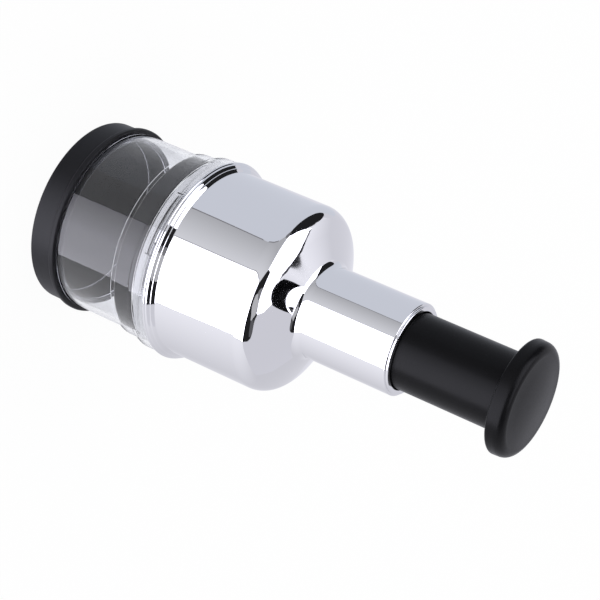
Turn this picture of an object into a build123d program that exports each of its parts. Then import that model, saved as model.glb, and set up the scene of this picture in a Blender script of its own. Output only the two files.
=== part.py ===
from build123d import *
from math import cos, pi, radians, tan
import os

# A plunger food chopper, standing on its base cap, in millimetres. +Z runs up the plunger's
# axis to the knob, and the origin is the middle of the cap's underside.

os.makedirs("parts", exist_ok=True)

# Clearances
running_gap = 0.3  # round faces that turn or slide past each other
axial_gap = 0.3  # faces that pass over each other along the axis
fixed_gap = 0.05  # round faces of pieces that are fixed together
shaft_gap = 0.08  # a shaft in its bearing

# Metal housing
body_radius = 41.0
shell_wall = 1.0
shoulder_slope = 28.3  # degrees, of the cone between body and neck
shoulder_round = 8.0
neck_radius = 20.0
neck_base = 121.8  # height at which the cone's line meets the neck's
neck_round = 4.6
neck_top = 166.0
neck_lip_round = 2.0
neck_lip_wall = 1.2
neck_mouth_radius = 17.4

# Clear cup
cup_wall = 2.0
cup_step_wall = 1.8
cup_ledge_wall = 1.2  # under the ledge that the wiper plate runs on
skirt_gap = 0.4  # the metal skirt inside the upper collar
upper_collar_step = 1.9
lower_collar_step = 1.5
spigot_length = 10.0
barrel_height = 30.4
lower_collar_height = 10.0
upper_collar_height = 8.9
lower_collar_round = 0.7
upper_collar_round = 1.2
cup_edge_round = 0.5
spigot_round = 0.6

# Base cap
cap_floor = 3.0
cap_height = 13.4
cap_wall = 2.3
cap_lip_step = 1.4
cap_lip_height = 2.6
cap_recess_depth = 0.8
cap_foot_width = 5.0
cap_foot_round = 0.8
cap_lip_round = 0.8
cap_mouth_round = 0.4

# Bayonet: lugs on the metal skirt in grooves inside the upper collar
lug_count = 3
lug_angle = -116.0  # degrees about Z, at the locked rest pose
lug_width = 4.4
lug_height = 2.2
lug_step = 0.9
lug_drop = 3.1  # from the cup's top edge down to the lug's middle
unlock_turn = 32.0  # degrees
groove_overrun = 1.0  # of the way in, past the cup's edge

# Double bead, where the housing stands on the cup's edge
bead_step = 3.2
second_bead_step = 1.75
bead_height = 4.8
bead_share = 0.52  # of the height, taken by the larger bead
bead_corner = 0.6  # width of the larger bead's round, at the cup's edge
bead_crest = 0.9  # height at which each bead is widest, above its lower end
groove_step = 2.1  # of the fine groove between the two beads
snap_groove_step = 0.9
snap_height = 2.4

# Plunger
stroke = 43.5
stem_radius = 16.5
stem_wall = 2.0
stem_web_thickness = 3.0
stem_web_drop = 14.0  # from the knob's underside down to the web's lower face
stem_flange_height = 1.6
stop_ring_height = 1.4
stop_ring_gap = 0.1
bush_height = 8.9
bush_chamfer = 0.4
knob_radius = 24.5
knob_underside = 213.0
knob_rim_height = 7.8
knob_dome = 1.2
knob_lower_round = 0.9
knob_upper_round = 3.0
knob_spigot_depth = 8.5
knob_spigot_wall = 2.5

# Inner liner, guide tube and drive nut
liner_wall = 2.0
bridge_bottom = 103.5
bridge_thickness = 3.0
boss_height = 6.0
boss_radius = 13.6
guide_wall = 1.3
guide_flange_radius = 30.0
guide_flange_height = 3.0
guide_screw_count = 3
guide_screw_circle = 25.0
screw_radius = 1.5
screw_head_radius = 2.8
screw_head_height = 1.8
screw_slot_width = 0.8
screw_slot_depth = 0.9
nut_flange_flats = 22.0
nut_flange_height = 2.0
nut_body_radius = 7.0
liner_corner_cut = 2.0

# Wiper plate
wiper_lift = 0.3  # above the ledge in the cup
wiper_thickness = 2.2
wiper_rim_wall = 2.0
liner_spigot_wall = 1.8
liner_spigot_lift = 1.5  # above the wiper plate's top face
snap_bead_step = 0.6
snap_bead_height = 1.6
snap_bead_lift = 1.3  # above the liner spigot's lower end
snap_sweep = 20.0  # degrees, of each snap on the liner's outside

# Blade and its carrier
blade_thickness = 0.8
blade_clearance = 0.9  # between the blade's ends and the liner's spigot
blade_slot_gap = 0.5
blade_edge_lift = 1.9  # above the wiper plate's lower face
blade_bevel = 0.3
blade_bend_radius = 2.5
blade_outer_y = 5.0
blade_peak_x = 19.5
blade_peak_y = 26.0
blade_groove_depth = 2.0
carrier_bottom = 94.5
carrier_thickness = 4.0
hub_radius = 9.0
hub_height = 4.2

# Spiral shaft
shaft_square = 6.0
shaft_radius = 3.0
shaft_square_gap = 0.2
shaft_square_length = 60.0
shaft_turn = 60.0  # degrees that the blade turns in one stroke
socket_depth = 2.0
collar_radius = 5.0
collar_height = 2.2
shaft_head = 4.5  # above the web
clip_height = 1.1
clip_groove_depth = 0.8
clip_radius = 5.6
clip_mouth_width = 3.8
washer_height = 0.8
washer_radius = 6.2
carrier_nut_flats = 10.0
carrier_nut_height = 3.4
nut_pocket_gap = 0.3  # round the washer, in the carrier's underside

# Return spring
spring_wire = 1.6
spring_coil_radius = 10.0
spring_turns = 15
spring_seat_height = 0.8

# Radii that follow from the housing's, from the outside in
upper_collar_bore = body_radius + skirt_gap
upper_collar_radius = upper_collar_bore + cup_wall
lower_collar_radius = upper_collar_radius - upper_collar_step
lower_collar_bore = lower_collar_radius - cup_wall
cup_radius = lower_collar_radius - lower_collar_step
cup_bore = cup_radius - cup_wall
spigot_radius = cup_bore
spigot_bore = spigot_radius - cup_wall
cap_bore = spigot_radius + running_gap
cap_radius = cap_bore + cap_wall
cap_lip_radius = cap_radius + cap_lip_step
shell_bore = body_radius - shell_wall
neck_bore = neck_radius - shell_wall
liner_radius = shell_bore - fixed_gap
liner_bore = liner_radius - liner_wall
wiper_radius = lower_collar_bore - running_gap
wiper_bore = wiper_radius - wiper_rim_wall
liner_spigot_radius = wiper_bore - running_gap
liner_spigot_bore = liner_spigot_radius - liner_spigot_wall
blade_reach = liner_spigot_bore - blade_clearance
guide_radius = neck_bore - fixed_gap
guide_bore = guide_radius - guide_wall
bush_bore = stem_radius + running_gap
stem_bore = stem_radius - stem_wall
stem_flange_radius = guide_bore - running_gap

# Heights that follow, from the table up
spigot_end = cap_height - spigot_length
lower_collar_base = cap_height + barrel_height
upper_collar_base = lower_collar_base + lower_collar_height
cup_top = upper_collar_base + upper_collar_height
wiper_ledge = lower_collar_base + cup_ledge_wall
wiper_bottom = wiper_ledge + wiper_lift
wiper_top = wiper_bottom + wiper_thickness
skirt_bottom = upper_collar_base + cup_step_wall + 2 * axial_gap
wiper_rim_top = skirt_bottom - axial_gap
liner_spigot_end = wiper_top + liner_spigot_lift
snap_bead_base = liner_spigot_end + snap_bead_lift
blade_edge = wiper_bottom + blade_edge_lift
blade_top = carrier_bottom + blade_groove_depth
carrier_top = carrier_bottom + carrier_thickness
hub_top = carrier_top + hub_height
nut_top = carrier_bottom + carrier_nut_height
washer_top = nut_top + washer_height
square_bottom = hub_top - socket_depth
bridge_top = bridge_bottom + bridge_thickness
boss_top = bridge_top + boss_height
spring_seat_top = boss_top + spring_seat_height
guide_flange_top = bridge_top + guide_flange_height
bush_top = neck_top - neck_lip_wall
bush_bottom = bush_top - bush_height
stop_ring_top = bush_bottom - stop_ring_gap
stop_ring_bottom = stop_ring_top - stop_ring_height
stem_bottom = stop_ring_bottom - stem_flange_height
web_bottom = knob_underside - stem_web_drop
web_top = web_bottom + stem_web_thickness
clip_base = web_top + washer_height + axial_gap
twist_rate = shaft_turn / stroke  # degrees per millimetre of the shaft


def turned(*outline):
    """Add a turned block: a closed outline of (radius, height) points, spun round Z."""
    with BuildSketch(Plane.XZ) as section:
        with BuildLine():
            Polyline(*outline, close=True)
        make_face()
    revolve(section.sketch, axis=Axis.Z)


def tube(outer, bore, bottom, top, mode=Mode.ADD):
    """Add or cut a plain round tube between two heights, or a disc where bore is 0."""
    with BuildSketch(Plane.XY.offset(bottom)) as ring:
        Circle(outer)
        if bore > 0:
            Circle(bore, mode=Mode.SUBTRACT)
    extrude(ring.sketch, amount=top - bottom, mode=mode)


def radial_plane(angle):
    """The upright plane through Z whose X axis points outwards at this angle."""
    outwards = Vector(1, 0, 0).rotate(Axis.Z, angle)
    across = Vector(0, -1, 0).rotate(Axis.Z, angle)
    return Plane(origin=(0, 0, 0), x_dir=outwards, z_dir=across)


def arc_groove(angle, sweep, inner, outer, bottom, top):
    """Cut a groove that runs round Z from one angle over a sweep, in degrees."""
    with BuildSketch(radial_plane(angle)) as section:
        with Locations(((inner + outer) / 2, (bottom + top) / 2)):
            Rectangle(outer - inner, top - bottom)
    revolve(section.sketch, axis=Axis.Z, revolution_arc=sweep, mode=Mode.SUBTRACT)


def twisted_square(flats, bottom, length):
    """A square bar whose faces wind round Z with the height, as those of the shaft do."""
    with BuildSketch(Plane.XY.offset(bottom)) as section:
        Rectangle(flats, flats, rotation=twist_rate * (bottom - square_bottom))
    return Solid.extrude_linear_with_rotation(
        section.sketch.face(), center=(0, 0, bottom), normal=(0, 0, length), angle=twist_rate * length
    )


def round_edges(height, radius, size):
    """Round the circular edges of this radius that lie at this height."""
    rims = [
        edge
        for edge in edges().filter_by(GeomType.CIRCLE)
        if abs(edge.center().Z - height) < 0.01 and abs(edge.radius - radius) < 0.01
    ]
    fillet(rims, size)


def export(part, name):
    """Label a finished piece and write it to its own file."""
    part.label = name
    export_step(part, f"parts/{name}.step")


# Base cap: a soft black lid with a short wall, a proud lip and a recessed underside.
with BuildPart() as base_cap:
    tube(cap_radius, 0, 0, cap_height)
    tube(cap_lip_radius, 0, cap_height - cap_lip_height, cap_height)
    tube(cap_bore, 0, cap_floor, cap_height, Mode.SUBTRACT)
    tube(cap_radius - cap_foot_width, 0, 0, cap_recess_depth, Mode.SUBTRACT)
    round_edges(0, cap_radius, cap_foot_round)
    round_edges(cap_height, cap_lip_radius, cap_lip_round)
    round_edges(cap_height - cap_lip_height, cap_lip_radius, cap_lip_round)
    round_edges(cap_height, cap_bore, cap_mouth_round)
export(base_cap.part, "base_cap")

# Clear cup: spigot, barrel and two collars in one wall, with the bayonet grooves in the upper.
lug_middle = cup_top - lug_drop
lug_half_angle = lug_width / 2 / body_radius * 180 / pi
groove_margin = lug_half_angle + running_gap / body_radius * 180 / pi
groove_bottom = lug_middle - lug_height / 2 - running_gap
groove_top = lug_middle + lug_height / 2 + running_gap
groove_radius = body_radius + lug_step + running_gap
with BuildPart() as clear_cup:
    turned(
        (spigot_bore, spigot_end),
        (spigot_radius, spigot_end),
        (spigot_radius, cap_height),
        (cup_radius, cap_height),
        (cup_radius, lower_collar_base),
        (lower_collar_radius, lower_collar_base),
        (lower_collar_radius, upper_collar_base),
        (upper_collar_radius, upper_collar_base),
        (upper_collar_radius, cup_top),
        (upper_collar_bore, cup_top),
        (upper_collar_bore, upper_collar_base + cup_step_wall),
        (lower_collar_bore, upper_collar_base + cup_step_wall),
        (lower_collar_bore, wiper_ledge),
        (cup_bore, wiper_ledge),
        (cup_bore, cap_height + cup_step_wall),
        (spigot_bore, cap_height + cup_step_wall),
    )
    round_edges(lower_collar_base, lower_collar_radius, lower_collar_round)
    round_edges(upper_collar_base, upper_collar_radius, upper_collar_round)
    round_edges(cup_top, upper_collar_radius, cup_edge_round)
    round_edges(spigot_end, spigot_radius, spigot_round)
    for lug in range(lug_count):
        start = lug_angle + lug * 360 / lug_count - groove_margin
        arc_groove(
            start,
            unlock_turn + 2 * groove_margin,
            upper_collar_bore - cup_wall / 2,
            groove_radius,
            groove_bottom,
            groove_top,
        )
        arc_groove(
            start + unlock_turn,
            2 * groove_margin,
            upper_collar_bore - cup_wall / 2,
            groove_radius,
            groove_top - running_gap,
            cup_top + groove_overrun,
        )
export(clear_cup.part, "clear_cup")

# Housing shell: one drawn metal skin from the skirt to the rolled lip of the neck.


def shell_solid(inset, bottom, top, mode=Mode.ADD):
    """The housing's body, shoulder and neck as a solid, drawn in from its skin by an inset."""
    slope = tan(radians(shoulder_slope))
    cone_drop = inset / cos(radians(shoulder_slope))
    body = body_radius - inset
    neck = neck_radius - inset
    shoulder_height = neck_base + (neck_radius - body) * slope - cone_drop
    neck_height = neck_base + (neck_radius - neck) * slope - cone_drop
    with BuildSketch(Plane.XZ) as section:
        with BuildLine():
            FilletPolyline(
                (body, bottom),
                (body, shoulder_height),
                (neck, neck_height),
                (neck, top),
                radius=[shoulder_round - inset, neck_round + inset],
            )
            Polyline((neck, top), (0, top), (0, bottom), (body, bottom))
        make_face()
    revolve(section.sketch, axis=Axis.Z, mode=mode)


bead_middle = cup_top + bead_height * bead_share
with BuildPart() as housing_shell:
    shell_solid(0, skirt_bottom, neck_top)
    round_edges(neck_top, neck_radius, neck_lip_round)
    with BuildSketch(Plane.XZ) as bead_section:
        with BuildLine():
            Line((shell_bore, cup_top), (body_radius + bead_step - bead_corner, cup_top))
            ThreePointArc(
                (body_radius + bead_step - bead_corner, cup_top),
                (body_radius + bead_step, cup_top + bead_crest),
                (body_radius + groove_step, bead_middle),
            )
            ThreePointArc(
                (body_radius + groove_step, bead_middle),
                (body_radius + second_bead_step, bead_middle + bead_crest),
                (body_radius, cup_top + bead_height),
            )
            Polyline(
                (body_radius, cup_top + bead_height),
                (shell_bore, cup_top + bead_height),
                (shell_bore, cup_top),
            )
        make_face()
    revolve(axis=Axis.Z)
    with PolarLocations(body_radius, lug_count, start_angle=lug_angle):
        with Locations((0, 0, lug_middle)):
            Box(2 * lug_step, lug_width, lug_height)
    shell_solid(shell_wall, skirt_bottom, bush_top, Mode.SUBTRACT)
    tube(neck_mouth_radius, 0, bush_top, neck_top, Mode.SUBTRACT)
    tube(
        body_radius + snap_groove_step,
        0,
        bead_middle - snap_height / 2,
        bead_middle + snap_height / 2,
        Mode.SUBTRACT,
    )
export(housing_shell.part, "housing_shell")

# Inner liner: a black inner housing that snaps into the shell's bead. Its bridge carries the
# drive nut, and its lower spigot carries the wiper plate.
with BuildPart() as inner_liner:
    turned(
        (0, bridge_bottom),
        (liner_bore, bridge_bottom),
        (liner_bore, skirt_bottom + liner_wall),
        (liner_spigot_bore, skirt_bottom + liner_wall),
        (liner_spigot_bore, liner_spigot_end),
        (liner_spigot_radius, liner_spigot_end),
        (liner_spigot_radius, snap_bead_base),
        (liner_spigot_radius + snap_bead_step, snap_bead_base),
        (liner_spigot_radius + snap_bead_step, snap_bead_base + snap_bead_height),
        (liner_spigot_radius, snap_bead_base + snap_bead_height),
        (liner_spigot_radius, skirt_bottom),
        (liner_radius, skirt_bottom),
        (liner_radius, bridge_top - liner_corner_cut),
        (liner_radius - liner_corner_cut, bridge_top),
        (boss_radius, bridge_top),
        (boss_radius, boss_top),
        (0, boss_top),
    )
    snap_root = liner_radius - liner_wall / 2
    snap_reach = body_radius + snap_groove_step - running_gap / 2
    for snap in range(lug_count):
        with BuildSketch(radial_plane(lug_angle + snap * 360 / lug_count)) as snap_section:
            with Locations(((snap_root + snap_reach) / 2, bead_middle)):
                Rectangle(snap_reach - snap_root, snap_height - running_gap)
        revolve(snap_section.sketch, axis=Axis.Z, revolution_arc=snap_sweep)
    tube(nut_body_radius + fixed_gap, 0, bridge_bottom, boss_top, Mode.SUBTRACT)
    with BuildSketch(Plane.XY.offset(boss_top - nut_flange_height)) as nut_pocket:
        RegularPolygon(nut_flange_flats / 2 + fixed_gap, 6, major_radius=False)
    extrude(nut_pocket.sketch, amount=nut_flange_height, mode=Mode.SUBTRACT)
    with BuildSketch(Plane.XY.offset(bridge_bottom)) as screw_holes:
        with PolarLocations(guide_screw_circle, guide_screw_count):
            Circle(screw_radius + fixed_gap)
    extrude(screw_holes.sketch, amount=bridge_thickness, mode=Mode.SUBTRACT)
export(inner_liner.part, "inner_liner")

# Guide tube: a flanged black tube on the bridge that lines the neck and guides the stem's foot.
with BuildPart() as guide_tube:
    tube(guide_flange_radius, guide_bore, bridge_top, guide_flange_top)
    tube(guide_radius, guide_bore, bridge_top, bush_bottom)
    with BuildSketch(Plane.XY.offset(bridge_top)) as pilot_holes:
        with PolarLocations(guide_screw_circle, guide_screw_count):
            Circle(screw_radius + fixed_gap)
    extrude(pilot_holes.sketch, amount=guide_flange_height, mode=Mode.SUBTRACT)
export(guide_tube.part, "guide_tube")

# Guide screws: pan heads under the bridge, threaded up into the guide tube's flange.
with BuildPart() as guide_screws:
    with BuildSketch(Plane.XY.offset(bridge_bottom - screw_head_height)) as screw_heads:
        with PolarLocations(guide_screw_circle, guide_screw_count):
            Circle(screw_head_radius)
    extrude(screw_heads.sketch, amount=screw_head_height)
    with BuildSketch(Plane.XY.offset(bridge_bottom)) as screw_shanks:
        with PolarLocations(guide_screw_circle, guide_screw_count):
            Circle(screw_radius)
    extrude(screw_shanks.sketch, amount=guide_flange_top - bridge_bottom)
    with BuildSketch(Plane.XY.offset(bridge_bottom - screw_head_height)) as screw_slots:
        with PolarLocations(guide_screw_circle, guide_screw_count):
            Rectangle(2 * screw_head_radius, screw_slot_width)
            Rectangle(screw_slot_width, 2 * screw_head_radius)
    extrude(screw_slots.sketch, amount=screw_slot_depth, mode=Mode.SUBTRACT)
export(guide_screws.part, "guide_screws")

# Neck bush: the ring under the neck's lip that the stem slides in.
with BuildPart() as neck_bush:
    tube(guide_radius, bush_bore, bush_bottom, bush_top)
    mouth_edge = edges().filter_by(GeomType.CIRCLE).group_by(Axis.Z)[-1].sort_by(SortBy.RADIUS)[0]
    chamfer(mouth_edge, bush_chamfer)
export(neck_bush.part, "neck_bush")

# Drive nut: a flanged nut with a winding square hole, which turns the shaft as it slides.
with BuildPart() as drive_nut:
    tube(nut_body_radius, 0, bridge_bottom, boss_top)
    with BuildSketch(Plane.XY.offset(boss_top - nut_flange_height)) as nut_flange:
        RegularPolygon(nut_flange_flats / 2, 6, major_radius=False)
    extrude(nut_flange.sketch, amount=nut_flange_height)
    add(
        twisted_square(shaft_square + 2 * shaft_square_gap, bridge_bottom, boss_top - bridge_bottom),
        mode=Mode.SUBTRACT,
    )
export(drive_nut.part, "drive_nut")

# Spring seat: a steel washer that keeps the spring off the nut.
with BuildPart() as spring_seat:
    tube(spring_coil_radius + spring_wire, nut_body_radius, boss_top, spring_seat_top)
export(spring_seat.part, "spring_seat")

# Return spring, between its seat and the stem's web.
spring_pitch = (web_bottom - spring_seat_top - spring_wire - axial_gap) / spring_turns
spring_start = spring_seat_top + spring_wire / 2 + axial_gap / 2
with BuildPart() as return_spring:
    with BuildLine(Plane.XY.offset(spring_start)) as spring_line:
        Helix(spring_pitch, spring_pitch * spring_turns, spring_coil_radius)
    with BuildSketch(Plane(origin=spring_line.line @ 0, z_dir=spring_line.line % 0)):
        Circle(spring_wire / 2)
    sweep(path=spring_line.line)
export(return_spring.part, "return_spring")

# Plunger stem: a black tube with a foot flange below and a web that carries the shaft.
with BuildPart() as plunger_stem:
    tube(stem_radius, stem_bore, stem_bottom, knob_underside)
    tube(stem_flange_radius, stem_bore, stem_bottom, stop_ring_bottom)
    tube(stem_bore, shaft_radius + shaft_gap, web_bottom, web_top)
export(plunger_stem.part, "plunger_stem")

# Stop ring: a rubber ring on the foot flange that quiets the upward stop.
with BuildPart() as stop_ring:
    tube(stem_flange_radius, stem_radius + fixed_gap, stop_ring_bottom, stop_ring_top)
export(stop_ring.part, "stop_ring")

# Knob: a thick mushroom disc with a slightly domed top, on a spigot pressed into the stem.
knob_rim_top = knob_underside + knob_rim_height
with BuildPart() as knob:
    with BuildSketch(Plane.XZ) as knob_section:
        with BuildLine():
            Polyline((0, knob_rim_top), (0, knob_underside), (knob_radius, knob_underside))
            Line((knob_radius, knob_underside), (knob_radius, knob_rim_top))
            ThreePointArc(
                (knob_radius, knob_rim_top),
                (knob_radius / 2, knob_rim_top + knob_dome * 3 / 4),
                (0, knob_rim_top + knob_dome),
            )
            Line((0, knob_rim_top + knob_dome), (0, knob_rim_top))
        make_face()
    revolve(axis=Axis.Z)
    round_edges(knob_underside, knob_radius, knob_lower_round)
    round_edges(knob_rim_top, knob_radius, knob_upper_round)
    knob_spigot_radius = stem_bore - fixed_gap
    tube(
        knob_spigot_radius,
        knob_spigot_radius - knob_spigot_wall,
        knob_underside - knob_spigot_depth,
        knob_underside,
    )
export(knob.part, "knob")

# Spiral shaft: a winding square bar with a round stud below and a collared pin above.
square_top = square_bottom + shaft_square_length
shaft_top = web_top + shaft_head
with BuildPart() as spiral_shaft:
    add(twisted_square(shaft_square, square_bottom, shaft_square_length))
    tube(shaft_radius, 0, carrier_bottom, square_bottom)
    tube(shaft_radius, 0, square_top, shaft_top)
    tube(collar_radius, 0, web_bottom - axial_gap - collar_height, web_bottom - axial_gap)
    tube(shaft_radius, shaft_radius - clip_groove_depth, clip_base, clip_base + clip_height, Mode.SUBTRACT)
export(spiral_shaft.part, "spiral_shaft")

# Swivel washer and clip, which hang the shaft from the stem's web and let it turn.
with BuildPart() as swivel_washer:
    tube(washer_radius, shaft_radius + shaft_gap, web_top, web_top + washer_height)
export(swivel_washer.part, "swivel_washer")

clip_bore = shaft_radius - clip_groove_depth
with BuildPart() as swivel_clip:
    tube(clip_radius, clip_bore, clip_base, clip_base + clip_height)
    with BuildSketch(Plane.XY.offset(clip_base)) as clip_mouth:
        with Locations((clip_radius / 2, 0)):
            Rectangle(clip_radius, clip_mouth_width)
    extrude(clip_mouth.sketch, amount=clip_height, mode=Mode.SUBTRACT)
export(swivel_clip.part, "swivel_clip")

# The blade's path: a zigzag of four legs that leaves the middle free for the shaft.
blade_outer_x = (blade_reach**2 - blade_outer_y**2) ** 0.5
blade_path = [
    (-blade_outer_x, -blade_outer_y),
    (-blade_peak_x, blade_peak_y),
    (0, -blade_peak_y),
    (blade_peak_x, blade_peak_y),
    (blade_outer_x, -blade_outer_y),
]


def zigzag(width, bottom, height, mode=Mode.ADD):
    """Add or cut an upright strip of this width along the blade's path."""
    with BuildSketch(Plane.XY.offset(bottom)) as strip:
        with BuildLine():
            FilletPolyline(*blade_path, radius=blade_bend_radius)
        trace(line_width=width)
    extrude(strip.sketch, amount=height, mode=mode)


# Zigzag blade: one strip of steel, bent, with its lower edge ground to a bevel.
with BuildPart() as zigzag_blade:
    zigzag(blade_thickness, blade_edge, blade_top - blade_edge)
    ground_edges = [
        edge
        for edge in edges().filter_by(GeomType.LINE)
        if edge.center().Z < blade_edge + 0.01 and edge.length > 2 * blade_thickness
    ]
    chamfer(ground_edges, blade_bevel)
export(zigzag_blade.part, "zigzag_blade")

# Blade carrier: the black disc that the blade is moulded into, keyed to the shaft's square.
with BuildPart() as blade_carrier:
    tube(blade_reach, shaft_radius + fixed_gap, carrier_bottom, carrier_top)
    tube(hub_radius, shaft_radius + fixed_gap, carrier_top, hub_top)
    add(
        twisted_square(shaft_square + 2 * shaft_square_gap, square_bottom, socket_depth),
        mode=Mode.SUBTRACT,
    )
    tube(washer_radius + nut_pocket_gap, 0, carrier_bottom, washer_top, Mode.SUBTRACT)
    zigzag(blade_thickness, carrier_bottom, blade_groove_depth, Mode.SUBTRACT)
export(blade_carrier.part, "blade_carrier")

# Carrier washer and nut, on the shaft's stud and let into the carrier's underside.
with BuildPart() as carrier_washer:
    tube(washer_radius, shaft_radius + fixed_gap, nut_top, washer_top)
export(carrier_washer.part, "carrier_washer")

with BuildPart() as carrier_nut:
    with BuildSketch(Plane.XY.offset(carrier_bottom)) as nut_section:
        RegularPolygon(carrier_nut_flats / 2, 6, major_radius=False)
        Circle(shaft_radius + fixed_gap, mode=Mode.SUBTRACT)
    extrude(nut_section.sketch, amount=carrier_nut_height)
export(carrier_nut.part, "carrier_nut")

# Wiper plate: a black disc with a slot for the blade and a rim that snaps over the liner's
# spigot, so that it turns with the blade and keeps the food below it.
with BuildPart() as wiper_plate:
    turned(
        (0, wiper_bottom),
        (wiper_radius, wiper_bottom),
        (wiper_radius, wiper_rim_top),
        (wiper_bore, wiper_rim_top),
        (wiper_bore, snap_bead_base + snap_bead_height + axial_gap),
        (wiper_bore + snap_bead_step, snap_bead_base + snap_bead_height + axial_gap),
        (wiper_bore + snap_bead_step, snap_bead_base - axial_gap),
        (wiper_bore, snap_bead_base - axial_gap),
        (wiper_bore, wiper_top),
        (0, wiper_top),
    )
    zigzag(blade_thickness + 2 * blade_slot_gap, wiper_bottom, wiper_thickness, Mode.SUBTRACT)
export(wiper_plate.part, "wiper_plate")
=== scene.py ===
"""Plunger food chopper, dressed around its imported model, in the order it is put together."""

from math import ceil, cos, degrees, radians, sin, tan

import bmesh
import bpy
from mathutils import Matrix, Vector


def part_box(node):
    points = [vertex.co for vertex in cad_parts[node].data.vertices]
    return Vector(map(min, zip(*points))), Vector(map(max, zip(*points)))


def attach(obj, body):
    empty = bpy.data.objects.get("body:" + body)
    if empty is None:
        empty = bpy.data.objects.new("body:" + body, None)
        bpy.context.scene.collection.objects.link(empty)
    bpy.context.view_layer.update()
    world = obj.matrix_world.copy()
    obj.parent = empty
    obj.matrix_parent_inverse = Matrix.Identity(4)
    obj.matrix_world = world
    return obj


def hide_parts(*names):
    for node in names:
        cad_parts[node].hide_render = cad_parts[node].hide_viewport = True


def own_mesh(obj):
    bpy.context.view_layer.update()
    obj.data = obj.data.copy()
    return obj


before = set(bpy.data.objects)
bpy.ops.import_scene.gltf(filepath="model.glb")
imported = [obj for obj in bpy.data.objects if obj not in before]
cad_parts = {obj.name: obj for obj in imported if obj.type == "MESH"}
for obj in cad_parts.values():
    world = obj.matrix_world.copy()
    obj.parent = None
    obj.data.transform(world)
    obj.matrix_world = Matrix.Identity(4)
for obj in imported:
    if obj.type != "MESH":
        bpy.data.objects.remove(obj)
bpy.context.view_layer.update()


# ---------------------------------------------------------------------------------------------
# Base cap: the shallow lid that closes the cup's end, which the chopper stands on. It is injection
# moulded in black polyethylene, a little soft, with a proud lip to pull it off by. Its fine
# spark-eroded grain gives it broad, dull highlights, and its inside is plainer.
# ---------------------------------------------------------------------------------------------
MM = 0.001
ARC_STEP = 7.0  # degrees between the points of a round
LARGE_ROUND = 1.0  # mm, from which a mirror's round may have finer steps
HOLD = 0.12  # mm from a round to the ring of points that keeps the straight run's shading straight
TURN_STEPS = 240  # round the axis
CAP_LIP_STEP = 1.4  # how far the lip stands out from the wall
CAP_LIP_HEIGHT = 2.6
CAP_WALL = 2.3
CAP_FLOOR = 3.0
CAP_FOOT_WIDTH = 5.0  # of the ring that the chopper stands on
CAP_RECESS = 0.8  # of the underside, inside that ring
SURFACE = 0.1  # mm, within which a face lies on a surface
CLOUD = 14.0  # mm across the soft clouds in a moulding's colour and shine


def extent(node):
    """The outer radius, lowest and highest point of a round node, in millimetres."""
    low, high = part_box(node)
    return high.x / MM, low.z / MM, high.z / MM


def rounding_reach(before, here, after):
    """How far along its two sides a corner's round starts."""
    corner = Vector(here[:2])
    opening = (Vector(before[:2]) - corner).angle(Vector(after[:2]) - corner)
    return here[2] / tan(opening / 2) if here[2] else 0.0


def rounded(corners, large_arc_step=ARC_STEP):
    """The points of a closed outline, from corners of (radius, height, round) in millimetres."""
    points = []
    trios = list(zip(corners[-1:] + corners[:-1], corners, corners[1:] + corners[:1]))
    reaches = [rounding_reach(*trio) for trio in trios]
    neighbours = zip(trios, reaches[-1:] + reaches[:-1], reaches, reaches[1:] + reaches[:1])
    for (before, here, after), reach_before, reach, reach_after in neighbours:
        corner = Vector(here[:2])
        back = Vector(before[:2]) - corner
        ahead = Vector(after[:2]) - corner
        if here[2] == 0:
            points.append(corner)
            continue
        start = corner + back.normalized() * reach
        end = corner + ahead.normalized() * reach
        middle = (back.normalized() + ahead.normalized()).normalized()
        centre = corner + middle * here[2] / sin(back.angle(ahead) / 2)
        turn = (start - centre).angle_signed(end - centre)
        arc_step = large_arc_step if here[2] > LARGE_ROUND else ARC_STEP
        steps = max(2, ceil(abs(degrees(turn)) / arc_step))
        hold_back = min(HOLD, (back.length - reach - reach_before) / 3)
        hold_ahead = min(HOLD, (ahead.length - reach - reach_after) / 3)
        if hold_back > HOLD / 2:
            points.append(start + back.normalized() * hold_back)
        for step in range(steps + 1):
            spoke = (start - centre).copy()
            spoke.rotate(Matrix.Rotation(-turn * step / steps, 2))
            points.append(centre + spoke)
        if hold_ahead > HOLD / 2:
            points.append(end + ahead.normalized() * hold_ahead)
    return points


def turned_mesh(name, outline, angles=None, relief=None):
    """Spin a closed outline in millimetres round Z. relief(angle, radius, height) moves points out."""
    angles = angles or [360 * step / TURN_STEPS for step in range(TURN_STEPS)]
    shape = bmesh.new()
    rings = []
    for radius, height in outline:
        if radius == 0:
            rings.append([shape.verts.new((0, 0, height * MM))] * len(angles))
            continue
        ring = []
        for angle in angles:
            reach = radius + (relief(angle, radius, height) if relief else 0)
            place = Vector((reach * cos(radians(angle)), reach * sin(radians(angle)), height))
            ring.append(shape.verts.new(place * MM))
        rings.append(ring)
    for lower, upper in zip(rings, rings[1:] + rings[:1]):
        for here, there in zip(range(len(angles)), [*range(1, len(angles)), 0]):
            corners = []
            for corner in (lower[here], lower[there], upper[there], upper[here]):
                if corner not in corners:
                    corners.append(corner)
            if len(corners) > 2:
                shape.faces.new(corners)
    bmesh.ops.recalc_face_normals(shape, faces=shape.faces)
    for face in shape.faces:
        face.smooth = True
    mesh = bpy.data.meshes.new(name)
    shape.to_mesh(mesh)
    shape.free()
    return mesh


def place_piece(name, mesh, material, body, node):
    """Put a finished mesh in the scene, on its body, for the node that it stands for."""
    piece = bpy.data.objects.new(name, mesh)
    bpy.context.scene.collection.objects.link(piece)
    mesh.materials.clear()
    mesh.materials.append(material)
    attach(piece, body)
    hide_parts(node)
    return piece


def linear(colour):
    """The linear RGBA of an sRGB hex colour such as 1b1b1e."""
    channels = [int(colour[at : at + 2], 16) / 255 for at in (0, 2, 4)]
    return [c / 12.92 if c <= 0.04045 else ((c + 0.055) / 1.055) ** 2.4 for c in channels] + [1.0]


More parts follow.
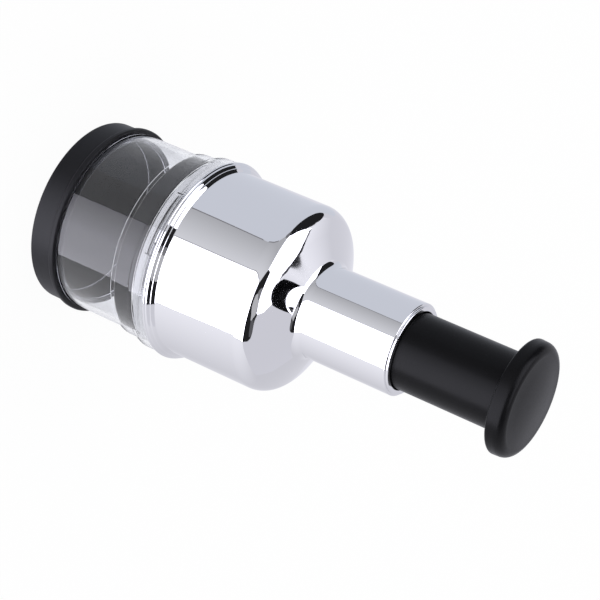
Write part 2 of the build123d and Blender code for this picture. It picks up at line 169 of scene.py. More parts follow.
def add_node(tree, kind, values=(), links=(), **settings):
    """Add a node with its settings, its input values and what its inputs are linked to."""
    node = tree.nodes.new(kind)
    for name, value in settings.items():
        setattr(node, name, value)
    for name, value in dict(values).items():
        node.inputs[name].default_value = value
    for name, socket in dict(links).items():
        tree.links.new(socket, node.inputs[name])
    return node


def new_material(name):
    """An empty node material, its tree and its object coordinates."""
    material = bpy.data.materials.new(name)
    material.use_nodes = True
    material.node_tree.nodes.clear()
    place = add_node(material.node_tree, "ShaderNodeTexCoord").outputs["Object"]
    return material, material.node_tree, place


def moulded_plastic(name, colour, worn, roughness, grain, grain_depth, shine=0.5):
    """Moulded plastic: a fine grain of this size and depth in mm, and a slightly uneven satin.

    The colour turns to the worn one in soft clouds, which also change the roughness a little.
    """
    material, tree, place = new_material(name)
    clouds = add_node(
        tree, "ShaderNodeTexNoise", {"Scale": 1 / (CLOUD * MM), "Detail": 3.0}, {"Vector": place}
    )
    tint = add_node(
        tree,
        "ShaderNodeMix",
        {"A": linear(colour), "B": linear(worn)},
        {"Factor": clouds.outputs["Fac"]},
        data_type="RGBA",
    )
    satin = add_node(
        tree,
        "ShaderNodeMapRange",
        {"To Min": roughness - 0.04, "To Max": roughness + 0.05},
        {"Value": clouds.outputs["Fac"]},
    )
    pits = add_node(
        tree, "ShaderNodeTexNoise", {"Scale": 1 / (grain * MM), "Detail": 2.0}, {"Vector": place}
    )
    bump = add_node(
        tree, "ShaderNodeBump", {"Distance": grain_depth * MM}, {"Height": pits.outputs["Fac"]}
    )
    surface = add_node(
        tree,
        "ShaderNodeBsdfPrincipled",
        {"IOR": 1.5, "Specular IOR Level": shine},
        {
            "Base Color": tint.outputs["Result"],
            "Roughness": satin.outputs["Result"],
            "Normal": bump.outputs["Normal"],
        },
    )
    add_node(tree, "ShaderNodeOutputMaterial", (), {"Surface": surface.outputs["BSDF"]})
    return material


cap_lip_radius, cap_foot, cap_top = extent("base_cap")
cap_radius = cap_lip_radius - CAP_LIP_STEP
cap_bore = cap_radius - CAP_WALL
cap_lip_base = cap_top - CAP_LIP_HEIGHT
cap_floor = cap_foot + CAP_FLOOR
cap_recess_radius = cap_radius - CAP_FOOT_WIDTH
cap_recess = cap_foot + CAP_RECESS
cap_outline = rounded(
    [
        (0, cap_recess, 0),
        (cap_recess_radius, cap_recess, 0.25),
        (cap_recess_radius, cap_foot, 0.3),
        (cap_radius, cap_foot, 0.8),
        (cap_radius, cap_lip_base, 0.3),
        (cap_lip_radius, cap_lip_base, 0.8),
        (cap_lip_radius, cap_top, 0.8),
        (cap_bore, cap_top, 0.4),
        (cap_bore, cap_floor, 0.8),
        (0, cap_floor, 0),
    ]
)
satin_polyethylene = moulded_plastic(
    "satin_black_polyethylene",
    "131316",
    "17171a",
    roughness=0.42,
    grain=0.9,
    grain_depth=0.0012,
    shine=0.155,
)
matt_polyethylene = moulded_plastic(
    "matt_black_polyethylene",
    "101014",
    "151519",
    roughness=0.6,
    grain=0.9,
    grain_depth=0.0012,
    shine=0.0,
)
cap_mesh = turned_mesh("base_cap_moulding", cap_outline)
place_piece("base_cap_moulding", cap_mesh, satin_polyethylene, "cap", "base_cap")
cap_mesh.materials.append(matt_polyethylene)
for face in cap_mesh.polygons:
    inside = face.center.xy.length < (cap_bore + SURFACE) * MM
    face.material_index = int(inside and face.center.z > (cap_floor - SURFACE) * MM)


# ---------------------------------------------------------------------------------------------
# Clear cup: the chopping chamber, moulded in water-clear styrene acrylonitrile in one even wall.
# Its spigot holds the cap, and its two collars hold the wiper plate and the metal skirt. The
# bayonet tracks are moulded into the inside of the upper collar, so they show through it.
# ---------------------------------------------------------------------------------------------
cup_radius, cup_end, cup_top = extent("clear_cup")
CUP_WALL = 2.0
UPPER_STEP = 1.9  # how far the upper collar stands out from the lower
LOWER_STEP = 1.5
LOWER_COLLAR = 10.0  # height
UPPER_COLLAR = 8.9
STEP_WALL = 1.8
LEDGE_WALL = 1.2  # over the lower collar's step, where the wiper plate rests
BODY_RADIUS = 41.0  # of the metal housing, whose skirt stands in the upper collar
LUG_COUNT = 3  # on the skirt
LUG_ANGLE = -116.0
LUG_HALF = 3.1  # degrees
LUG_HEIGHT = 2.2
LUG_DROP = 3.1  # from the cup's edge to a lug's middle
LUG_STEP = 0.9
UNLOCK_TURN = 32.0
TRACK_GAP = 0.3  # round a lug in its track
TRACK_OVERRUN = 1.0  # of the way in, past the cup's edge
TRACK_EDGE = 0.5  # width over which a track's wall rises
TRACK_TURN = 0.07  # degrees between the points round a track's ends
TRACK_FINE = 4  # such points on each side of an end
EDGE_PARTS = 8  # parts that a track's edge has down the wall
EDGE_REACH = 5  # such parts on each side of an edge
ON_WALL = 0.01  # mm, within which a point lies on the collar's bore
LEDGE_CLEAR = 0.2  # mm above the collar's ledge that the tracks leave as it is
FLOW = 22.0  # mm across the waves that the melt's flow leaves in the wall
FLOW_DEPTH = 0.02

upper_radius = cup_radius
lower_radius = upper_radius - UPPER_STEP
barrel_radius = lower_radius - LOWER_STEP
upper_bore = upper_radius - CUP_WALL
lower_bore = lower_radius - CUP_WALL
barrel_bore = barrel_radius - CUP_WALL
spigot_radius = barrel_bore
spigot_bore = spigot_radius - CUP_WALL
upper_base = cup_top - UPPER_COLLAR
lower_base = upper_base - LOWER_COLLAR
track_middle = cup_top - LUG_DROP
track_half = LUG_HEIGHT / 2 + TRACK_GAP
track_depth = LUG_STEP + TRACK_GAP - (upper_bore - BODY_RADIUS)


def ramp(value, low, high, edge=TRACK_EDGE):
    """1 between low and high and 0 outside, with soft steps of this width at both."""
    rise = min(max((value - low) / edge + 0.5, 0), 1)
    fall = min(max((high - value) / edge + 0.5, 0), 1)
    soft = min(rise, fall)
    return soft * soft * (3 - 2 * soft)


def track_depth_at(angle, radius, height):
    """How deep the bayonet tracks are at a point inside the upper collar, in millimetres."""
    if abs(radius - upper_bore) > ON_WALL or height < upper_base + STEP_WALL + LEDGE_CLEAR:
        return 0
    edge = degrees(TRACK_EDGE / upper_bore)
    gap = degrees(TRACK_GAP / upper_bore)
    pitch = 360 / LUG_COUNT
    along = (angle - LUG_ANGLE + pitch / 2) % pitch - pitch / 2  # degrees from the nearest lug
    run = ramp(along, -LUG_HALF - gap, UNLOCK_TURN + LUG_HALF + gap, edge)
    run *= ramp(height, track_middle - track_half, track_middle + track_half)
    entry = ramp(along, UNLOCK_TURN - LUG_HALF - gap, UNLOCK_TURN + LUG_HALF + gap, edge)
    entry *= ramp(height, track_middle, cup_top + TRACK_OVERRUN)
    return track_depth * max(run, entry)


def fine_angles():
    """Angles round the cup, closer together at the ends of the tracks and of their entries."""
    gap = degrees(TRACK_GAP / upper_bore)
    angles = {round(360 * step / TURN_STEPS, 3) for step in range(TURN_STEPS)}
    for lug in range(LUG_COUNT):
        start = LUG_ANGLE + 360 / LUG_COUNT * lug
        for end in (-LUG_HALF - gap, UNLOCK_TURN - LUG_HALF - gap, UNLOCK_TURN + LUG_HALF + gap):
            for part in range(-TRACK_FINE, TRACK_FINE + 1):
                angles.add(round((start + end + part * TRACK_TURN) % 360, 3))
    return sorted(angles)


def track_heights():
    """Heights down the inside of the upper collar, closer together at the tracks' edges."""
    heights = []
    for edge in (track_middle + track_half, track_middle, track_middle - track_half):
        parts = range(EDGE_REACH, -EDGE_REACH - 1, -1)
        heights += [edge + part * TRACK_EDGE / EDGE_PARTS for part in parts]
    return heights


cup_outline = rounded(
    [
        (spigot_bore, cup_end, 0.3),
        (spigot_radius, cup_end, 0.6),
        (spigot_radius, cap_top, 0.2),
        (barrel_radius, cap_top, 0.3),
        (barrel_radius, lower_base, 0.5),
        (lower_radius, lower_base, 0.7),
        (lower_radius, upper_base, 0.4),
        (upper_radius, upper_base, 1.2),
        (upper_radius, cup_top, 0.5),
        (upper_bore, cup_top, 0.3),
        *[(upper_bore, height, 0) for height in track_heights()],
        (upper_bore, upper_base + STEP_WALL, 0.5),
        (lower_bore, upper_base + STEP_WALL, 0.3),
        (lower_bore, lower_base + LEDGE_WALL, 0.5),
        (barrel_bore, lower_base + LEDGE_WALL, 0.3),
        (barrel_bore, cap_top + STEP_WALL, 0.8),
        (spigot_bore, cap_top + STEP_WALL, 0.6),
    ]
)


def clear_plastic():
    """Clear moulded plastic, with a polished face and the faint flow of the melt in its wall.

    Shadow and diffuse rays pass straight through, so that the cup lets the room's light in.
    """
    material, tree, place = new_material("clear_styrene_acrylonitrile")
    flow = add_node(
        tree,
        "ShaderNodeTexNoise",
        {"Scale": 1 / (FLOW * MM), "Detail": 2.0, "Distortion": 0.6},
        {"Vector": place},
    )
    bump = add_node(
        tree, "ShaderNodeBump", {"Distance": FLOW_DEPTH * MM}, {"Height": flow.outputs["Fac"]}
    )
    plastic = add_node(
        tree,
        "ShaderNodeBsdfPrincipled",
        {"Base Color": linear("f7f8fc"), "Roughness": 0.0, "IOR": 1.5, "Transmission Weight": 1.0},
        {"Normal": bump.outputs["Normal"]},
    )
    through = add_node(tree, "ShaderNodeBsdfTransparent", {"Color": linear("f0f1f6")})
    ray = add_node(tree, "ShaderNodeLightPath")
    lamps = add_node(
        tree,
        "ShaderNodeMath",
        (),
        {0: ray.outputs["Is Shadow Ray"], 1: ray.outputs["Is Diffuse Ray"]},
        operation="MAXIMUM",
    )
    surface = add_node(
        tree,
        "ShaderNodeMixShader",
        (),
        {0: lamps.outputs["Value"], 1: plastic.outputs["BSDF"], 2: through.outputs["BSDF"]},
    )
    add_node(tree, "ShaderNodeOutputMaterial", (), {"Surface": surface.outputs["Shader"]})
    return material


place_piece(
    "clear_cup_moulding",
    turned_mesh("clear_cup_moulding", cup_outline, fine_angles(), track_depth_at),
    clear_plastic(),
    "cup",
    "clear_cup",
)


# ---------------------------------------------------------------------------------------------
# Wiper plate: the black disc that keeps the food below it, with a zigzag slot for the blade and a
# rim that snaps over the inner housing's spigot. Moulded in black ABS, with a dull satin.
# ---------------------------------------------------------------------------------------------


def dress(node, material):
    """Give a carried-over node its material."""
    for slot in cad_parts[node].material_slots:
        slot.material = material


dull_abs = moulded_plastic(
    "dull_black_abs",
    "101014",
    "151519",
    roughness=0.5,
    grain=0.8,
    grain_depth=0.0008,
    shine=0.0,
)
dress("wiper_plate", dull_abs)


# ---------------------------------------------------------------------------------------------
# Zigzag blade: one strip of hardened stainless steel, bent into four legs, brushed along its
# length.
# ---------------------------------------------------------------------------------------------
LINE_DEPTH = 0.004  # mm, of the lines that brushing or drawing leaves


def brushed_steel(name, colour, roughness, stretch, line):
    """Brushed or drawn steel: lines this many mm apart, drawn out along each axis by stretch."""
    material, tree, place = new_material(name)
    drawn = add_node(tree, "ShaderNodeMapping", {"Scale": stretch}, {"Vector": place})
    lines = add_node(
        tree,
        "ShaderNodeTexNoise",
        {"Scale": 1 / (line * MM), "Detail": 3.0},
        {"Vector": drawn.outputs["Vector"]},
    )
    sheen = add_node(
        tree,
        "ShaderNodeMapRange",
        {"To Min": roughness - 0.06, "To Max": roughness + 0.1},
        {"Value": lines.outputs["Fac"]},
    )
    bump = add_node(
        tree, "ShaderNodeBump", {"Distance": LINE_DEPTH * MM}, {"Height": lines.outputs["Fac"]}
    )
    surface = add_node(
        tree,
        "ShaderNodeBsdfPrincipled",
        {"Base Color": linear(colour), "Metallic": 1.0},
        {"Roughness": sheen.outputs["Result"], "Normal": bump.outputs["Normal"]},
    )
    add_node(tree, "ShaderNodeOutputMaterial", (), {"Surface": surface.outputs["BSDF"]})
    return material


blade_steel = brushed_steel("brushed_stainless_blade", "c9c9c6", 0.26, (0.06, 0.06, 1.0), 0.25)
dress("zigzag_blade", blade_steel)


# ---------------------------------------------------------------------------------------------
# Blade carrier: the black disc that the blade is moulded into, held on the shaft by a stainless
# nut and washer let into its underside.
# ---------------------------------------------------------------------------------------------
dress("blade_carrier", dull_abs)
stainless_steel = brushed_steel("bright_stainless_steel", "c4c8cc", 0.34, (1.0, 1.0, 1.0), 0.9)
dress("carrier_washer", stainless_steel)
dress("carrier_nut", stainless_steel)


# ---------------------------------------------------------------------------------------------
# Spiral shaft: a square stainless bar, cold drawn and wound along its length. It hangs from the
# stem's web on a washer and a clip.
# ---------------------------------------------------------------------------------------------
dress("spiral_shaft", brushed_steel("drawn_steel_shaft", "b9b9b8", 0.3, (1.0, 1.0, 0.05), 0.3))
dress("swivel_washer", stainless_steel)
dress("swivel_clip", stainless_steel)


# ---------------------------------------------------------------------------------------------
# Inner housing: black liner, guide tube and neck bush, moulded in the same ABS, with the white
# acetal drive nut that turns the shaft and the screws that hold the guide tube.
# ---------------------------------------------------------------------------------------------
dress("inner_liner", dull_abs)
dress("guide_tube", dull_abs)
dress("neck_bush", dull_abs)
acetal = moulded_plastic(
    "natural_acetal", "e9e7df", "dedbd1", roughness=0.4, grain=0.8, grain_depth=0.01
)
dress("drive_nut", acetal)
dress("guide_screws", stainless_steel)
dress("spring_seat", stainless_steel)


# ---------------------------------------------------------------------------------------------
# Return spring: drawn spring wire, wound in open coils from its seat up to the stem's web.
# ---------------------------------------------------------------------------------------------
SPRING_TURNS = 15.0
SPRING_WIRE = 1.6
COIL_STEPS = 48  # in a turn
WIRE_SIDES = 14


def spring_tree():
    """A node tree that winds a wire into an open coil."""
    tree = bpy.data.node_groups.new("wound_spring", "GeometryNodeTree")
    face = tree.interface
    face.new_socket("Geometry", in_out="INPUT", socket_type="NodeSocketGeometry")
    for name in ("Coil Radius", "Wire Radius", "Length", "Turns"):
        face.new_socket(name, in_out="INPUT", socket_type="NodeSocketFloat")
    face.new_socket("Base", in_out="INPUT", socket_type="NodeSocketVector")
    face.new_socket("Material", in_out="INPUT", socket_type="NodeSocketMaterial")
    face.new_socket("Geometry", in_out="OUTPUT", socket_type="NodeSocketGeometry")
    given = add_node(tree, "NodeGroupInput").outputs
    helix = add_node(
        tree,
        "GeometryNodeCurveSpiral",
        {"Resolution": COIL_STEPS},
        {
            "Rotations": given["Turns"],
            "Start Radius": given["Coil Radius"],
            "End Radius": given["Coil Radius"],
            "Height": given["Length"],
        },
    )
    section = add_node(
        tree,
        "GeometryNodeCurvePrimitiveCircle",
        {"Resolution": WIRE_SIDES},
        {"Radius": given["Wire Radius"]},
    )
    wire = add_node(
        tree,
        "GeometryNodeCurveToMesh",
        {"Fill Caps": True},
        {"Curve": helix.outputs["Curve"], "Profile Curve": section.outputs["Curve"]},
    )
    smooth = add_node(tree, "GeometryNodeSetShadeSmooth", (), {"Geometry": wire.outputs["Mesh"]})
    placed = add_node(
        tree,
        "GeometryNodeTransform",
        (),
        {"Geometry": smooth.outputs["Geometry"], "Translation": given["Base"]},
    )
    real = add_node(
        tree, "GeometryNodeRealizeInstances", (), {"Geometry": placed.outputs["Geometry"]}
    )
    finished = add_node(
        tree,
        "GeometryNodeSetMaterial",
        (),
        {"Geometry": real.outputs["Geometry"], "Material": given["Material"]},
    )
    add_node(tree, "NodeGroupOutput", (), {"Geometry": finished.outputs["Geometry"]})
    return tree


def node_mesh(name, tree, inputs):
    """The plain mesh that a geometry node tree makes from these inputs."""
    carrier = bpy.data.objects.new(name, bpy.data.meshes.new(name))
    bpy.context.scene.collection.objects.link(carrier)
    modifier = carrier.modifiers.new(name, "NODES")
    modifier.node_group = tree
    for socket in tree.interface.items_tree:
        if socket.in_out == "INPUT" and socket.name in inputs:
            modifier[socket.identifier] = inputs[socket.name]
    bpy.context.view_layer.update()
    evaluated = carrier.evaluated_get(bpy.context.evaluated_depsgraph_get())
    mesh = bpy.data.meshes.new_from_object(evaluated)
    bpy.data.objects.remove(carrier)
    mesh.name = name
    return mesh


spring_radius, spring_bottom, spring_top = extent("return_spring")
spring_steel = brushed_steel("drawn_spring_wire", "a9acb0", 0.24, (1.0, 1.0, 1.0), 0.5)
spring_mesh = node_mesh(
    "return_spring_coil",
    spring_tree(),
    {
        "Coil Radius": (spring_radius - SPRING_WIRE / 2) * MM,
        "Wire Radius": SPRING_WIRE / 2 * MM,
        "Length": (spring_top - spring_bottom - SPRING_WIRE) * MM,
        "Turns": SPRING_TURNS,
        "Base": (0.0, 0.0, (spring_bottom + SPRING_WIRE / 2) * MM),
        "Material": spring_steel,
    },
)
spring = place_piece(
    "return_spring_coil", spring_mesh, spring_steel, "housing", "return_spring"
)
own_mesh(spring)


# ---------------------------------------------------------------------------------------------
# Metal housing: a skirt, body, shoulder and neck drawn from one sheet of steel, with a double bead
# rolled where it stands on the cup, polished and chrome plated. It mirrors the studio as clear
# shapes, which bend at the shoulder, and only the faintest waves show in them.
# ---------------------------------------------------------------------------------------------
_, skirt_end, neck_top = extent("housing_shell")
SHEET = 1.0
NECK_RADIUS = 20.0
SHOULDER_HEIGHT = 110.46  # where the body's line meets the shoulder's
SHOULDER_SLOPE = 30.9
SHOULDER_ROUND = 7.9
CROWN_RADIUS = 34.64  # where the shoulder eases into the cone above it
CROWN_SLOPE = 27.2
CROWN_ROUND = 90.0
NECK_ROUND = 4.6
LIP_STEP = 0.9  # how far the rolled lip stands in from the neck, and up from its shoulder
LIP_ROUND = 0.7
LIP_WALL = 1.2
MOUTH_RADIUS = 16.9  # just clear of the stem
SHELL_ARC_STEP = 1.5  # degrees, on the shoulder and the neck's foot, as a mirror shows facets
WAVE = 30.0  # mm across the faint waves in the sheet
WAVE_DEPTH = 0.04
HAZE = 9.0  # mm across the patches where the polish is a little duller


def chrome_plate():
    """Bright chrome plate on polished steel: next to no roughness, and a faint long wave."""
    material, tree, place = new_material("bright_chrome_plate")
    wave = add_node(
        tree, "ShaderNodeTexNoise", {"Scale": 1 / (WAVE * MM), "Detail": 1.0}, {"Vector": place}
    )
    bump = add_node(
        tree, "ShaderNodeBump", {"Distance": WAVE_DEPTH * MM}, {"Height": wave.outputs["Fac"]}
    )
    haze = add_node(
        tree, "ShaderNodeTexNoise", {"Scale": 1 / (HAZE * MM), "Detail": 4.0}, {"Vector": place}
    )
    polish = add_node(
        tree, "ShaderNodeMapRange", {"To Min": 0.015, "To Max": 0.045}, {"Value": haze.outputs["Fac"]}
    )
    surface = add_node(
        tree,
        "ShaderNodeBsdfPrincipled",
        {"Base Color": linear("d8d8da"), "Metallic": 1.0},
        {"Roughness": polish.outputs["Result"], "Normal": bump.outputs["Normal"]},
    )
    add_node(tree, "ShaderNodeOutputMaterial", (), {"Surface": surface.outputs["BSDF"]})
    return material


def shell_side(inset):
    """The corners of the shoulder, its crown and the neck's foot, this far in from the skin."""
    slope, crown_slope = tan(radians(SHOULDER_SLOPE)), tan(radians(CROWN_SLOPE))
    drop, crown_drop = inset / cos(radians(SHOULDER_SLOPE)), inset / cos(radians(CROWN_SLOPE))
    body = BODY_RADIUS - inset
    neck = NECK_RADIUS - inset
    crown = CROWN_RADIUS - (drop - crown_drop) / (slope - crown_slope)
    shoulder_at = SHOULDER_HEIGHT + inset * slope - drop
    crown_at = SHOULDER_HEIGHT + (BODY_RADIUS - crown) * slope - drop
    neck_at = crown_at + (crown - neck) * crown_slope
    return [
        (body, shoulder_at, SHOULDER_ROUND - inset),
        (crown, crown_at, CROWN_ROUND - inset),
        (neck, neck_at, NECK_ROUND + inset),
    ]


# The two rolled beads, as (how far out from the body, how far up from the cup) along the skin.
BEAD_SKIN = [
    (2.0, 0.02),
    (2.62, 0.06),
    (3.0, 0.18),
    (3.16, 0.38),
    (3.2, 0.6),
    (3.14, 0.82),
    (2.98, 1.02),
    (2.8, 1.14),
    (2.7, 1.22),
    (2.67, 1.32),
    (2.68, 1.5),
    (2.66, 1.72),
    (2.58, 1.9),
    (2.42, 2.06),
    (2.1, 2.34),
    (1.78, 2.62),
    (1.5, 2.87),
    (1.44, 2.95),
    (1.42, 3.08),
    (1.34, 3.18),
    (1.05, 3.43),
    (0.75, 3.69),
    (0.45, 3.95),
    (0.2, 4.16),
    (0.06, 4.3),
    (0.0, 4.5),
]

shell_outline = rounded(
    [
        (BODY_RADIUS - SHEET, skirt_end, 0.2),
        (BODY_RADIUS, skirt_end, 0.3),
        (BODY_RADIUS, cup_top + 0.02, 0),
        *[(BODY_RADIUS + out, cup_top + up, 0) for out, up in BEAD_SKIN],
        *shell_side(0),
        (NECK_RADIUS, neck_top - LIP_STEP, LIP_ROUND),
        (NECK_RADIUS - LIP_STEP, neck_top - LIP_STEP, 0.12),
        (NECK_RADIUS - LIP_STEP, neck_top, 0.5),
        (MOUTH_RADIUS, neck_top, 0.4),
        (MOUTH_RADIUS, neck_top - LIP_WALL, 0.2),
        (NECK_RADIUS - SHEET, neck_top - LIP_WALL, 0.2),
        *reversed(shell_side(SHEET)),
    ],
    SHELL_ARC_STEP,
)
place_piece(
    "housing_shell_drawing",
    turned_mesh("housing_shell_drawing", shell_outline),
    chrome_plate(),
    "housing",
    "housing_shell",
)


# ---------------------------------------------------------------------------------------------
# Plunger stem: the smooth black tube that slides in the neck, moulded in ABS, with the rubber stop
# ring on its foot.
# ---------------------------------------------------------------------------------------------
satin_abs = moulded_plastic(
    "satin_black_abs",
    "09090b",
    "0c0c0e",
    roughness=0.3,
    grain=0.7,
    grain_depth=0.003,
    shine=0.09,
)
rubber = moulded_plastic(
    "black_nitrile_rubber", "151517", "1b1b1d", roughness=0.62, grain=0.5, grain_depth=0.02
)
dress("plunger_stem", satin_abs)
dress("stop_ring", rubber)


# ---------------------------------------------------------------------------------------------
# Knob: the palm button on top, a thick disc with soft edges and a slightly domed face, moulded in
# the stem's plastic and pressed into it.
# ---------------------------------------------------------------------------------------------
knob_radius, _, knob_top = extent("knob")
knob_base = extent("plunger_stem")[2]
KNOB_DRAFT = 0.4  # how much narrower the side is at its top, so that it leaves the mould
KNOB_DOME = 1.8  # how far the face rises to its middle
RIM_RISE = 0.5  # of the side's corner, over the dome's edge, which its round takes off again
knob_rim = knob_top - KNOB_DOME
knob_outline = rounded(
    [
        (0, knob_base, 0),
        (knob_radius, knob_base, 1.2),
        (knob_radius - KNOB_DRAFT, knob_rim + RIM_RISE, 4.2),
        *[(knob_radius * at, knob_top - KNOB_DOME * at * at, 0) for at in (0.8, 0.6, 0.4, 0.2)],
        (0, knob_top, 0),
    ]
)
knob_mesh = turned_mesh("knob_moulding", knob_outline)
place_piece("knob_moulding", knob_mesh, satin_abs, "plunger", "knob")


# ---------------------------------------------------------------------------------------------
# Cards: the pale and dark panels round the table, which the chrome, the cup and the black plastic
# mirror. Only reflections show them, and where they overlap, the nearer one is seen.
# ---------------------------------------------------------------------------------------------
CARD_GRID = 6  # degrees between the cuts that let a card bend round the object
CHART_REACH = 168  # degrees from overhead to the last cut


def sky_card(name, colour, strength, outline, distance, fade=None):
    """A glowing card that only reflections show, from an outline on a chart of the sky above.

    The chart's points are in degrees from straight overhead, towards +X and +Y, and the distance is
    in metres. A fade is a second colour, and the two azimuths between which the card turns to it.
    """
    shape = bmesh.new()
    shape.faces.new([shape.verts.new((x, y, 0)) for x, y in outline])
    bmesh.ops.triangulate(shape, faces=shape.faces[:])
    for cut in range(-CHART_REACH, CHART_REACH + 1, CARD_GRID):
        for across in (Vector((1, 0, 0)), Vector((0, 1, 0))):
            whole = shape.verts[:] + shape.edges[:] + shape.faces[:]
            bmesh.ops.bisect_plane(shape, geom=whole, plane_co=across * cut, plane_no=across)
    for corner in shape.verts:
        lean = corner.co.length
        flat = corner.co.normalized() * sin(radians(lean))
        corner.co = Vector((flat.x, flat.y, cos(radians(lean)))) * distance
    mesh = bpy.data.meshes.new(name)
    shape.to_mesh(mesh)
    shape.free()
    material, tree, place = new_material(name)
    glow = add_node(tree, "ShaderNodeEmission", {"Color": linear(colour), "Strength": strength})
    if fade:
        far_colour, start, end = fade
        around = add_node(
            tree, "ShaderNodeTexGradient", (), {"Vector": place}, gradient_type="RADIAL"
        )
        share = add_node(
            tree,
            "ShaderNodeMapRange",
            {"From Min": start / 360 + 0.5, "From Max": end / 360 + 0.5},
            {"Value": around.outputs["Fac"]},
        )
        tint = add_node(
            tree,
            "ShaderNodeMix",
            {"A": linear(colour), "B": linear(far_colour)},
            {"Factor": share.outputs["Result"]},
            data_type="RGBA",
        )
        tree.links.new(tint.outputs["Result"], glow.inputs["Color"])
    add_node(tree, "ShaderNodeOutputMaterial", (), {"Surface": glow.outputs["Emission"]})
    material.cycles.emission_sampling = "NONE"  # only a mirrored ray may find the card
    mesh.materials.append(material)
    card = bpy.data.objects.new(name, mesh)
    bpy.context.scene.collection.objects.link(card)
    card.visible_camera = False
    card.visible_diffuse = False
    card.visible_transmission = False
    card.visible_shadow = False


def sky_arc(start, end, lean):
    """Chart points this many degrees from overhead, round from one azimuth to another."""
    steps = max(2, ceil(abs(end - start) / CARD_GRID))
    turns = [radians(start + (end - start) * step / steps) for step in range(steps + 1)]
    return [(lean * cos(turn), lean * sin(turn)) for turn in turns]


def sky_line(line, width):
    """The outline of a strip of this width, in degrees, along a line of chart points."""
    left, right = [], []
    for at, point in enumerate(line):
        along = Vector(line[min(at + 1, len(line) - 1)]) - Vector(line[max(at - 1, 0)])
        side = Vector((-along.y, along.x)).normalized() * width / 2
        left.append(tuple(Vector(point) + side))
        right.append(tuple(Vector(point) - side))
    return left + right[::-1]


SKIRT_LEAN = 120.6  # degrees from overhead, below what the metal mirrors and the cup still does
LOW = 150  # degrees from overhead, below all that the object mirrors
LAVENDER_TURN = 117  # azimuths where one card ends and the next begins, near the ground
BAND_TURN = 221
WHITE_TURN = 258.5
SIDE_TURN = 338.5
SIDE_END = 440
WEDGE_INNER = [(-34.6, 26), (-38.2, 20), (-42.2, 12), (-45.7, 4), (-47, -4), (-49.8, -12)]
WEDGE_OUTER = [(-63, -12), (-67.5, -4), (-70, 4), (-71.5, 12), (-72, 20), (-71.3, 28), (-70, 36)]
WEDGE_TOP = [
    *[(-66.5, 44), (-63, 48), (-58, 49.6), (-52.5, 47.4)],
    *[(-45.7, 43.9), (-40.2, 41.2), (-37.9, 38.4), (-36.7, 34.8)],
]
BAND_TOP = [(-20, -25.5), (-30, -24), (-40, -21), (-47, -17)]
BAND_EDGE = [
    *[(-57.5, -26), (-58.2, -36), (-59.5, -44), (-63.2, -52)],
    *[(-67.4, -59.6), (-74.5, -66.7), (-86.8, -75.4)],
]
WHITE_EDGE = [
    *[(-2, -51), (-4.5, -54), (-6.5, -60), (-9.3, -66)],
    *[(-13, -75), (-17.5, -88), (-23, -113), (-30, -147)],
]
RIGHT_EDGE = [
    *[(59.5, -17), (63.5, -19.8), (68, -24), (72, -27.8)],
    *[(77, -31), (83.1, -34.4), (92.3, -38.6), (106, -42)],
]
DARK_LEFT = [(-3, -11), (-9.8, -12), (-11.2, -16), (-12.2, -20), (-13.6, -24), (-14, -28)]
DARK_FOOT = [
    *[(-12.5, -32), (-9.5, -36), (-6, -40), (-2.5, -44)],
    *[(0, -47.2), (6, -47.6), (14, -47), (20, -45)],
]
DARK_FRONT = [
    *[(24, -43.5), (32, -39.8), (40, -36), (44, -33.5)],
    *[(48, -30.2), (52, -26.3), (56, -22.7), (59, -19.5)],
]
DARK_RIGHT = [
    *[(59.5, -17), (56, -12.8), (52, -10.3), (44, -2.3)],
    *[(36, 4.5), (32, 7.8), (27, 10.3), (24.5, 10)],
]
DARK_TOP = [(20, 6.8), (15.5, 5), (12, 0), (9.5, -6), (4, -9.8)]
STREAK = [
    *[(-35.2, 30.8), (-34.2, 28), (-31.8, 25), (-27.6, 20.7), (-23.9, 17.4)],
    *[(-19, 13.2), (-14.2, 9.7), (-10, 7.2), (-6.6, 6.2)],
]
STREAK_BACK = [
    *[(-9.4, 7.8), (-13.5, 10.6), (-18.1, 14.2), (-23.1, 18.4)],
    *[(-27.0, 21.5), (-31.2, 25.5), (-33.8, 28.5)],
]

# The pale blue-grey card on the left, and the dark wedge that stands before it.
lavender = [*WEDGE_TOP[:1], *WEDGE_OUTER[::-1], (-57.5, -20), *BAND_EDGE]
lavender += [*sky_arc(BAND_TURN, LAVENDER_TURN, LOW), (-43, 64)]
sky_card("card_lavender", "e6eaf5", 1.0, lavender, 3.1)
wedge = [*WEDGE_INNER, (-54, -15), *WEDGE_OUTER, *WEDGE_TOP]
sky_card("card_wedge", "262628", 1.0, wedge, 2.9)
wedge_tail = [(-62, -11), (-50, -11), (-50.5, -19), (-54, -25), (-59, -25)]
sky_card("card_wedge_tail", "828286", 1.0, wedge_tail, 2.95)

# The grey band beside it, which turns white, and the parts of both that only the cup mirrors.
band = [(-50, -15), (-57, -22), *BAND_EDGE, *sky_arc(BAND_TURN, WHITE_TURN, LOW)]
band += [*WHITE_EDGE[::-1], *DARK_FOOT[4::-1], *DARK_LEFT[-1:], *BAND_TOP]
sky_card("card_band", "c6c7cc", 1.0, band, 3.0, ("f1f2f8", -138, -102))
low_band = sky_arc(BAND_TURN, WHITE_TURN, SKIRT_LEAN) + sky_arc(WHITE_TURN, BAND_TURN, LOW)
sky_card("card_low_band", "a4a4a8", 1.0, low_band, 2.97)
low_lavender = sky_arc(BAND_TURN, LAVENDER_TURN, SKIRT_LEAN)
low_lavender += sky_arc(LAVENDER_TURN, BAND_TURN, LOW)
sky_card("card_low_lavender", "c6cad6", 1.0, low_lavender, 2.97)
sky_card("card_band_edge", "908f94", 1.0, sky_line(BAND_EDGE[2:], 2.4), 2.92)

